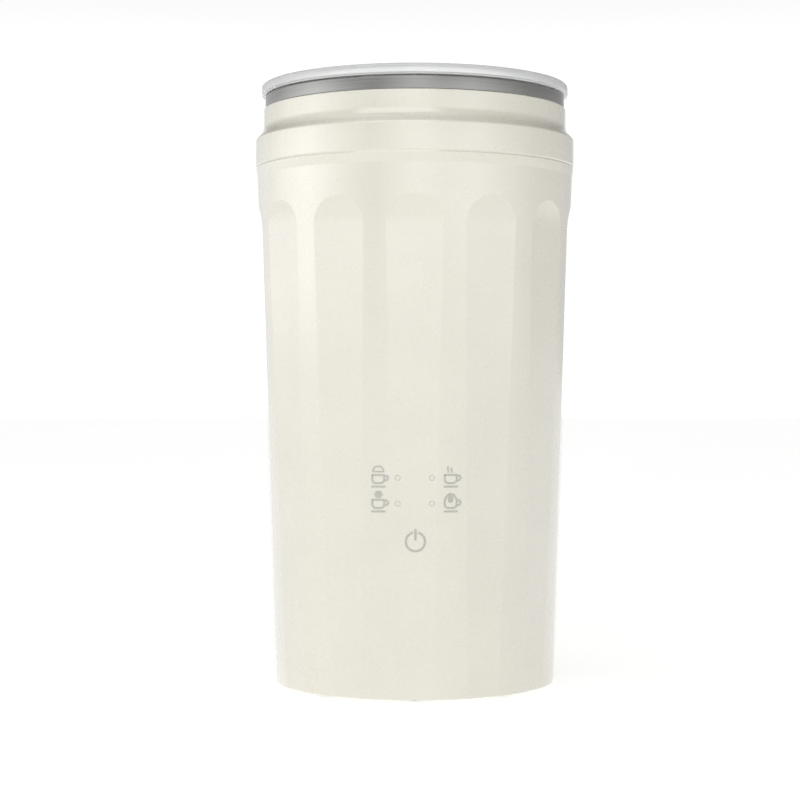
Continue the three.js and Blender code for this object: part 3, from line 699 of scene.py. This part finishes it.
def coil_ring():
    """A wire that circles a ring: it stands the turn's radius off the ring's centre line, and goes round
    that line once per turn while the line goes round the hub once."""
    share = np.linspace(0, 1, COIL_TURNS * 40, endpoint=False)
    around, turn = 2 * np.pi * share, 2 * np.pi * share * COIL_TURNS
    radial = np.stack([np.cos(around), np.sin(around), 0 * around], -1)
    outward = -np.cos(turn)[:, None] * radial + np.sin(turn)[:, None] * np.array([0, 0, 1])
    path = COIL_R * radial + COIL_TURN_R * outward + np.array([0, 0, COIL_Z])
    return closed_mesh("whisk_wire_ring", [wire_grid(path, outward, WIRE_R, 12)])


def hub_mesh():
    """The whisk's disc and post, with the bush's bore and two magnet pockets underneath."""
    mesh = turned("whisk_disc", [
        (0, 103, 0),
        (2.9, 103, 0),
        (2.9, 89.6, 0.3),
        (10.4, 89.6, 0.5),
        (11, 90.6, 0.4),
        (11, 94, 0.8),
        (9, 95.4, 0.8),
        (POST_R, 96.4, 1.2),
        (POST_R, POST_TOP, 0.4),
        (0, POST_TOP, 0),
    ], 128)
    pockets = [rod_up(2.65, 88, 93.3, (x, 0), 32) for x in (-7, 7)]
    return merge(mesh, pockets, "DIFFERENCE")


def grip_mesh():
    """A finger knob: a sleeve over the post that narrows at its waist and swells to a rounded head."""
    return turned("whisk_knob", [
        (0, POST_TOP + 0.3, 0),
        (POST_R + 0.3, POST_TOP + 0.3, 0),
        (POST_R + 0.3, 97.2, 0.2),
        (6, 97.2, 0.5),
        (5.5, 100, 2),
        (5.5, 105, 2),
        (7.2, 108, 1.5),
        (7.2, 111.4, 2),
        (0, 111.9, 0),
    ], 96)


def pin_mesh():
    """The pin on the cup's floor, with a foot and a rounded tip."""
    foot, radius, top = 4, 1.5, 101
    return turned("cup_pin", [
        (0, CUP_FLOOR + 0.1, 0),
        (foot, CUP_FLOOR + 0.1, 0.1),
        (foot, 88.2, 0.4),
        (radius, 88.5, 0.3),
        (radius, top, 0.5),
        (0, top, 0),
    ], 64)


def bush_mesh():
    """The whisk's bush: a closed sleeve that turns on the pin."""
    inner, outer, low = 1.65, 2.6, 88.9
    return turned("turned_bush", [
        (0, 101.3, 0),
        (inner, 101.3, 0),
        (inner, low, 0.1),
        (outer, low, 0.2),
        (outer, 102.6, 0.3),
        (0, 102.6, 0),
    ], 64)


piece(coil_ring(), BRIGHT, "whisk", ["whisk_coil"])
piece(hub_mesh(), BLACK, "whisk", ["whisk_hub"])
piece(grip_mesh(), BLACK, "whisk", ["whisk_grip"])
piece(pin_mesh(), BRIGHT, "housing", ["spindle_pin"])
piece(bush_mesh(), BRASS, "whisk_carrier", ["whisk_bush"])


# ---- Touch symbols and their lights ----

LINE = 0.56  # width of a printed line
THIN_LINE = 0.45
INK_RISE, INK_SINK = 0.05, 0.02  # how far the ink stands on the lacquer and reaches into it
CUP_HALF, CUP_DEPTH = 1.75, 1.28  # half of a drawn cup's width, and its floor below its middle
HANDLE_REACH = 2.85


def on_front(x, z, lift):
    """A point on the front of the body in metres: on the flat flute, or on the rib beside it, whichever is
    nearer the axis, raised by lift in mm."""
    flat = FLUTE_R + FLUTE_TAPER * z
    rib = np.sqrt((RIB_R + RIB_TAPER * z) ** 2 - x**2)
    return np.stack([x, -(np.minimum(flat, rib) + lift), z], -1) * MM


def printed_line(path, closed=False, width=LINE):
    """A printed line along a path of (x, z) in mm: at each point half the width to either side, across the
    path. An open line ends in half circles: there the half width is the root of the radius squared less the
    reach squared."""
    path = np.array(path, float)
    half = np.full(len(path), width / 2)
    if not closed:
        reach = width / 2 * np.linspace(1, 0, 5)[:-1]
        first, last = unit(path[0] - path[1]), unit(path[-1] - path[-2])
        path = np.vstack([path[0] + first * reach[:, None], path, path[-1] + last * reach[::-1, None]])
        cap = np.sqrt(np.maximum((width / 2) ** 2 - reach**2, 0))
        half = np.concatenate([cap, half, cap[::-1]])
    along = np.roll(path, -1, 0) - np.roll(path, 1, 0)
    if not closed:
        along = np.gradient(path, axis=0)
    along /= np.linalg.norm(along, axis=1, keepdims=True)
    across = np.stack([-along[:, 1], along[:, 0]], -1) * half[:, None]
    left, right = path + across, path - across
    columns = [(left, -INK_SINK), (left, INK_RISE), (right, INK_RISE), (right, -INK_SINK)]
    grid = [on_front(side[:, 0], side[:, 1], lift) for side, lift in columns]
    return np.stack(grid, 1), closed, True


def printed_patch(outline):
    """A filled printed shape: rings that shrink from the outline (x, z) to its middle, above and below."""
    outline = np.array(outline, float)
    middle = outline.mean(0)
    over = [(size, INK_RISE) for size in (0, 0.5, 1)]
    under = [(size, -INK_SINK) for size in (1, 0.5, 0)]
    grid = []
    for size, lift in over + under:
        ring = middle + (outline - middle) * size
        grid.append(on_front(ring[:, 0], ring[:, 1], lift))
    return np.array(grid), False, True


def saucer_line(x, z):
    """The saucer: a line a little wider than the cup, below it."""
    reach, drop = CUP_HALF + 0.1, CUP_DEPTH + 1
    return printed_line(np.linspace((x - reach, z - drop), (x + reach, z - drop), 8))


def handle_line(x, top, low, low_end):
    """A cup's handle: out from the cup's side at the top, round, and back in at the low end."""
    return printed_line(rounded([
        (x + CUP_HALF, top, 0),
        (x + HANDLE_REACH, top, 0.6),
        (x + HANDLE_REACH, low, 0.7),
        (x + CUP_HALF - 0.1, low_end, 0),
    ]))


def cup_sign(x, z):
    """A cup, its handle and its saucer, the cup's middle at (x, z)."""
    rim, floor, half = z + 1.12, z - CUP_DEPTH, CUP_HALF
    bowl = rounded([
        (x - half, rim, 0.1),
        (x + half, rim, 0.1),
        (x + half, floor, 1.1),
        (x - half, floor, 1.1),
    ], 5)
    handle = handle_line(x, rim - 0.2, floor + 0.9, floor + 0.75)
    return [printed_line(bowl, True), handle, saucer_line(x, z)]


def foam_cap_sign(x, z):
    """A cup under a cap of foam, drawn as a closed dome."""
    crown, low, top = 0.95, z + 2.1, z + 3.6
    dome = rounded([
        (x - CUP_HALF, low, 0.25),
        (x + CUP_HALF, low, 0.25),
        (x + crown, top, 0.9),
        (x - crown, top, 0.9),
    ])
    return [*cup_sign(x, z), printed_line(dome, True, THIN_LINE)]


def puff_sign(x, z):
    """A cup under a filled puff with a scalloped edge: its radius rises and falls by a cosine six times."""
    angle = np.linspace(0, 2 * np.pi, 60, endpoint=False)
    radius = 1.15 + 0.08 * np.cos(6 * angle)
    puff = np.stack([x + 0.05 + radius * np.cos(angle), z + 2.7 + 0.95 * radius * np.sin(angle)], -1)
    return [*cup_sign(x, z), printed_patch(puff)]


def steam_sign(x, z):
    """A cup under two strokes of steam, each a line that sways by a sine once on its way up."""
    height = np.linspace(0, 1, 12)
    lines = []
    for start, length in ((-0.8, 1.6), (0.25, 1.15)):
        sway = 0.09 * np.sin(2 * np.pi * height)
        stroke = np.stack([x + start + sway, z + 1.95 + length * height], -1)
        lines.append(printed_line(stroke, width=THIN_LINE))
    return [*cup_sign(x, z), *lines]


def foam_peak_sign(x, z):
    """A cup whose foam rises to a peak, with a filled drop inside."""
    angle = np.linspace(0, 2 * np.pi, 48, endpoint=False)
    floor, shoulder, half = z - CUP_DEPTH, z + 1.3, CUP_HALF
    outline = rounded([
        (x - half, floor, 1.1),
        (x + half, floor, 1.1),
        (x + half, shoulder, 1.4),
        (x, z + 3.8, 1.3),
        (x - half, shoulder, 1.4),
    ])
    drop = np.stack([x - 0.05 + 0.85 * np.cos(angle), z + 1.4 + 1.15 * np.sin(angle)], -1)
    handle = handle_line(x, z + 0.95, z - 0.4, z - 0.5)
    return [printed_line(outline, True), printed_patch(drop), handle, saucer_line(x, z)]


def power_sign(x, z):
    """A ring open at the top, and a stroke that stands in the opening."""
    radius, opening = 2.78, 42
    angle = np.radians(90 + np.linspace(opening / 2, 360 - opening / 2, 60))
    ring = np.stack([x + radius * np.cos(angle), z + radius * np.sin(angle)], -1)
    stem = np.linspace((x, z + 0.75), (x, z + 3.45), 8)
    return [printed_line(ring, width=0.64), printed_line(stem, width=0.7)]


SIGNS = {
    "symbol_foam_cap": foam_cap_sign(KEY_X[0], KEY_ROWS[0]),
    "symbol_puff": puff_sign(KEY_X[0], KEY_ROWS[1]),
    "symbol_steam": steam_sign(KEY_X[1], KEY_ROWS[0]),
    "symbol_foam_peak": foam_peak_sign(KEY_X[1], KEY_ROWS[1]),
    "symbol_power": power_sign(*POWER_KEY),
}
for name, grids in SIGNS.items():
    piece(closed_mesh(name, grids), INK, "housing")


def light_pipe(x, z, number):
    """A milky rod flush with the flute, its outer end slightly crowned."""
    face, back, radius = -(FLUTE_R + FLUTE_TAPER * z), -39.6, 0.75
    rows = [(back, 0), (back, radius), (face + 0.05, radius), (face, radius - 0.05), (face - 0.01, 0)]
    mesh = closed_mesh(f"light_rod_{number}", [turned_along_y(x, z, rows)])
    piece(mesh, LIGHT_PIPE, "housing", [f"light_pipe_{number}"])


for number, (x, z) in enumerate(LIGHT_PLACES, 1):
    light_pipe(x, z, number)


# ---- Underside ----

SLOTS = 8
CUT_HIGH = 6  # the cover's cuts run from the table to above its upper side


def slot_grid(angle):
    """A radial air slot with round ends, through the cover."""
    inner, outer, half = 9.9, 21.1, 1.1
    corners = ((inner, -half), (outer, -half), (outer, half), (inner, half))
    strip = rounded([(x, y, 0.98 * half) for x, y in corners])
    return upright_strip(strip, angle, 0, CUT_HIGH)


def bottom_cover():
    """The cover's disc with its air slots, the feet's holes, and the screws' counterbores and holes."""
    outline = [(0, COVER_LOW, 0), (COVER_R, COVER_LOW, 0.5), (COVER_R, COVER_HIGH, 0.3), (0, COVER_HIGH, 0)]
    mesh = turned("base_cover", outline, 224)
    cuts = [slot_grid(angle) for angle in 2 * np.pi * (np.arange(SLOTS) + 0.5) / SLOTS]
    cuts += [rod_up(2.3, 0, CUT_HIGH, place) for place in FOOT_PLACES]
    cuts += [rod_up(3.3, 0, 3.2, place) for place in SCREW_PLACES]
    mesh = merge(mesh, cuts, "DIFFERENCE")
    return merge(mesh, [rod_up(1.7, 0, CUT_HIGH, place) for place in SCREW_PLACES], "DIFFERENCE")


def foot_mesh(number, place):
    """A rubber disc hollowed a little underneath, and its barbed stem."""
    pad, stem = 4.3, 2
    return turned(f"rubber_foot_{number}", [
        (0, 0.4, 0),
        (2.2, 0.4, 0.2),
        (2.5, 0, 0.2),
        (3.9, 0, 0.3),
        (pad, 0.5, 0.3),
        (pad, 1.5, 0.3),
        (stem, 1.5, 0),
        (stem, 4.7, 0),
        (2.7, 4.7, 0.1),
        (stem, 5.8, 0.3),
        (0, 5.8, 0),
    ], 64, place=place)


def screw_mesh(number, place):
    """A pan-head screw, head down, with a cross recess cut in its head."""
    head, shank = 2.8, 1.35
    mesh = turned(f"cover_screw_{number}", [
        (0, 1.6, 0),
        (2.2, 1.6, 0.5),
        (head, 2.2, 0.3),
        (head, 2.9, 0.1),
        (shank, 2.9, 0),
        (shank, 15, 0),
        (0, 16, 0),
    ], 48, place=place)
    x, y = place
    low, high, long_half, thin_half = 1, 2.4, 1.5, 0.28
    for dx, dy in ((long_half, thin_half), (thin_half, long_half)):
        arm = box_grid((x - dx, y - dy, low), (x + dx, y + dy, high), 0.1, 2)
        mesh = merge(mesh, [arm], "DIFFERENCE")
    return mesh


piece(bottom_cover(), CREAM, "housing", ["bottom_cover"])
for number, place in enumerate(FOOT_PLACES, 1):
    piece(foot_mesh(number, place), RUBBER, "housing", [f"foot_{number}"])
for number, place in enumerate(SCREW_PLACES, 1):
    piece(screw_mesh(number, place), BRIGHT, "housing", [f"base_screw_{number}"])


# ---- Mains inlet ----

def softened_box(low, high, corner, edge):
    """A block along Y whose outer end is rounded over: the rounded rectangle shrinks by the edge's radius
    along a quarter circle as it nears the end."""
    (x0, y0, z0), (x1, y1, z1) = low, high
    turn = np.linspace(0, np.pi / 2, 6)
    rounded_end = zip(y1 - edge + edge * np.sin(turn), edge * (1 - np.cos(turn)))
    stations = [(y0, None), (y0, 0.0), *rounded_end, (y1, None)]
    middle = np.array([(x0 + x1) / 2, (z0 + z1) / 2])
    grid = []
    for y, inset in stations:
        drawn_in = inset or 0.0
        left, right, below, above = x0 + drawn_in, x1 - drawn_in, z0 + drawn_in, z1 - drawn_in
        corners = ((left, below), (right, below), (right, above), (left, above))
        outline = rounded([(x, z, corner - drawn_in) for x, z in corners])
        size = 0 if inset is None else 1
        grid.append(np.insert(middle + (outline - middle) * size, 1, y, axis=1))
    return np.array(grid) * MM, False, True


def inlet_mesh():
    """The inlet's flange, softened at its edge, and its body, with the socket and the pins' holes cut."""
    z = INLET_Z
    flange = softened_box((-12.5, 44.55, z - 9.5), (12.5, INLET_FACE, z + 9.5), 3.5, 0.7)
    body = box_grid((-10.4, INLET_BACK, z - 7.4), (10.4, 45.5, z + 7.4), 2)
    socket = box_grid((-8, SOCKET_FLOOR, z - 5.25), (8, 48, z + 5.25), 3, 8)
    holes = [rod_along_y(x, z + dz, PIN_R + 0.25, 25, 33) for x, dz in PIN_PLACES]
    mesh = merge(closed_mesh("mains_inlet", [flange]), [body], "UNION")
    mesh = merge(mesh, [socket], "DIFFERENCE")
    return merge(mesh, holes, "DIFFERENCE")


def inlet_pin(x, z):
    """A pin along Y whose tip is rounded over by a quarter circle."""
    tail, tip, edge = 23, 40.8, 0.9
    turn = np.linspace(0, np.pi / 2, 6)
    round_tip = zip(tip - edge + edge * np.sin(turn), PIN_R - edge + edge * np.cos(turn))
    return turned_along_y(x, z, [(tail, 0), (tail, PIN_R), *round_tip, (tip, 0)])


piece(inlet_mesh(), BLACK, "housing", ["power_inlet"])
for number, (x, dz) in enumerate(PIN_PLACES, 1):
    mesh = closed_mesh(f"contact_pin_{number}", [inlet_pin(x, INLET_Z + dz)])
    piece(mesh, BRASS, "housing", [f"inlet_pin_{number}"])


# ---- Floor, light and camera ----

# Brightness of the studio at the horizon, by direction: 0 and 1 are -X (left), 0.25 the front, 0.5 the
# right, 0.75 behind. The first two stops are the ring's ends.
STUDIO_RING = [
    (0.0, 2.15),
    (1.0, 2.15),
    # the big lit wall at the left falls off towards a dark gap
    (0.022, 2.35),
    (0.053, 2.05),
    (0.083, 1.62),
    (0.11, 1.26),
    (0.15, 0.82),
    (0.172, 0.70),
    # two pale panels in front
    (0.195, 1.04),
    (0.25, 1.70),
    (0.305, 1.38),
    (0.37, 1.74),
    (0.445, 1.12),
    # the dim right side
    (0.51, 0.70),
    (0.553, 0.68),
    (0.61, 0.64),
    (0.67, 0.60),
    (0.70, 0.70),
    # the white wall behind
    (0.712, 1.28),
    (0.788, 1.28),
    # round the back corner to the left wall
    (0.80, 0.80),
    (0.90, 1.05),
    (0.947, 1.62),
]
STUDIO_PEAK = 2.5
# The share of that brightness that is left by height: 0 is the horizon and 1 straight up.
STUDIO_HEIGHT = [(0.0, 1.0), (1.0, 0.55), (0.08, 1.0), (0.15, 0.86), (0.26, 0.62), (0.4, 0.30), (0.8, 0.30)]

LAMP_PLACE, LAMP_TARGET = (-0.4, -1.55, 1.35), (0, 0, 0.09)  # metres
LAMP_SIZE, LAMP_WATTS = (2.0, 1.4), 11
CAMERA_PLACE = (0, -0.5968, 0.0917)  # metres
CAMERA_LENS, SENSOR_WIDTH = 85.2, 36  # millimetres
CAMERA_SHIFT = (-0.01845, -0.01125)
FLOOR_HALF = 6.0


def floor():
    """A pale matt light table, lit softly from below. Its colour drifts a little over some tens of
    centimetres."""
    made, tree, shader, place = new_material("pale_light_table")
    blend_colours(tree, shader, pattern(tree, place, 400, 2), "#c9c9c8", "#cdcdcc")
    shader.inputs["Roughness"].default_value = 0.7
    shader.inputs["Emission Color"].default_value = linear("#ffffff")
    shader.inputs["Emission Strength"].default_value = 0.66
    corners = FLOOR_HALF * np.array([[(-1, -1, 0), (1, -1, 0)], [(-1, 1, 0), (1, 1, 0)]])
    mesh = closed_mesh("floor", [(corners, False, False)])
    mesh.materials.append(made)
    plane = bpy.data.objects.new("floor", mesh)
    bpy.context.scene.collection.objects.link(plane)


def front_light():
    """One large soft lamp, high in front and to the left, turned to the middle of the object."""
    data = bpy.data.lights.new("front", "AREA")
    data.shape = "RECTANGLE"
    data.size, data.size_y = LAMP_SIZE
    data.energy = LAMP_WATTS
    lamp = bpy.data.objects.new("front", data)
    lamp.location = LAMP_PLACE
    lamp.rotation_mode = "QUATERNION"
    direction = Vector(LAMP_TARGET) - Vector(LAMP_PLACE)
    lamp.rotation_quaternion = direction.to_track_quat("-Z", "Y")
    bpy.context.scene.collection.objects.link(lamp)


def set_stops(ramp, stops):
    """Fills a colour ramp, which has two stops of its own, with grey stops, each (place, brightness)."""
    for place, grey in stops[2:]:
        ramp.elements.new(place)
    for stop, (place, grey) in zip(ramp.elements, sorted(stops)):
        stop.position = place
        stop.color = (grey, grey, grey, 1)


def surroundings():
    """A studio round the object: brightest at its left, with two pale panels in front, dim at its right and
    overhead, and white behind. The steel and the lacquer pick these up."""
    world = bpy.data.worlds.new("pale_studio")
    world.use_nodes = True
    tree = world.node_tree
    tree.nodes.clear()
    direction = add(tree, "ShaderNodeTexCoord").outputs["Generated"]
    turn = add(tree, "ShaderNodeTexGradient", {"Vector": direction}, gradient_type="RADIAL")
    height = add(tree, "ShaderNodeSeparateXYZ", {"Vector": direction})
    ring = add(tree, "ShaderNodeValToRGB", {"Fac": turn.outputs["Fac"]})
    fall = add(tree, "ShaderNodeValToRGB", {"Fac": height.outputs["Z"]})
    set_stops(ring.color_ramp, [(place, grey / STUDIO_PEAK) for place, grey in STUDIO_RING])
    set_stops(fall.color_ramp, STUDIO_HEIGHT)
    factors = {0: ring.outputs["Color"], 1: fall.outputs["Color"]}
    both = add(tree, "ShaderNodeVectorMath", factors, operation="MULTIPLY")
    light = add(tree, "ShaderNodeBackground", {"Color": both.outputs[0], "Strength": STUDIO_PEAK})
    add(tree, "ShaderNodeOutputWorld", {"Surface": light.outputs[0]})
    bpy.context.scene.world = world


def camera():
    """A level camera at about half the object's height, looking along +Y through a long lens."""
    data = bpy.data.cameras.new("camera")
    data.lens = CAMERA_LENS
    data.sensor_width = SENSOR_WIDTH
    data.shift_x, data.shift_y = CAMERA_SHIFT
    data.clip_start = 0.01
    made = bpy.data.objects.new("camera", data)
    made.location = CAMERA_PLACE
    made.rotation_euler = (math.radians(90), 0, 0)
    bpy.context.scene.collection.objects.link(made)
    bpy.context.scene.camera = made


floor()
surroundings()
front_light()
camera()
bpy.context.scene.view_settings.view_transform = "Standard"
